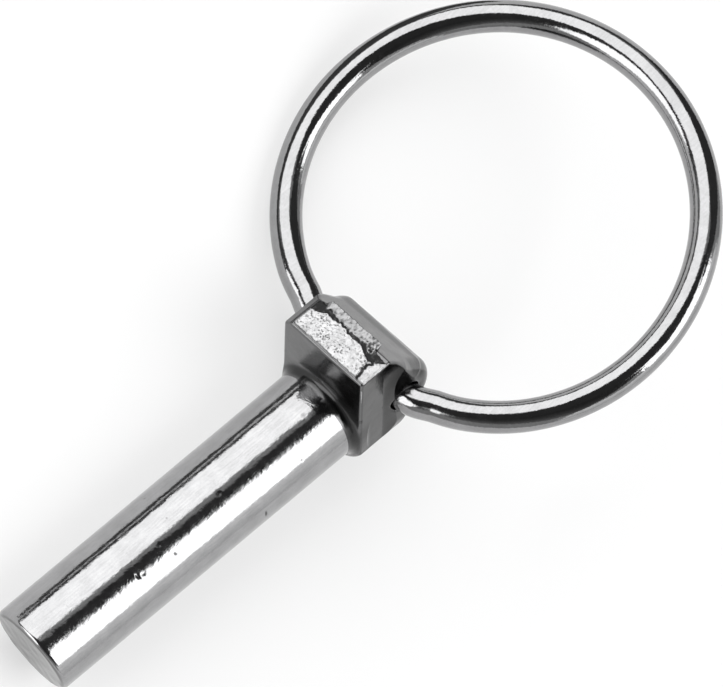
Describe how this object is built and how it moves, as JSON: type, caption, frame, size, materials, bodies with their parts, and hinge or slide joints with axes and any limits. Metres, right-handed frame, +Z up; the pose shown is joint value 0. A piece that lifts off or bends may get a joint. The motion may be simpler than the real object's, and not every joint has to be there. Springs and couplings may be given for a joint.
{
  "type": "lynch pin",
  "caption": "Plated steel lynch pin: a round forged shank with an eccentric lug head, and a spring-wire ring that swings in the head's cross hole to lock over the shank.",
  "frame": {"origin": "on the floor, under the middle of the whole part as it lies", "axes": "+X from the shank's tip to the far side of the ring, +Z up from the floor"},
  "size_m": [0.0871, 0.0402, 0.0259],
  "materials": {
    "pin": "bright zinc plate over a drawn and forged surface, with small pits and a rough trimmed strip on the lip",
    "ring": "bright zinc plate on drawn spring wire"
  },
  "bodies": {
    "pin": {"pin": "pin"},
    "ring": {"ring": "ring"}
  },
  "joints": [
    {"name": "ring_swing", "type": "hinge", "parent": "pin", "child": "ring", "pos_m": [0.00282, -0.00292, 0.00904], "axis": [0.0308, -0.8652, 0.5004], "range_deg": [-178, 161]}
  ]
}
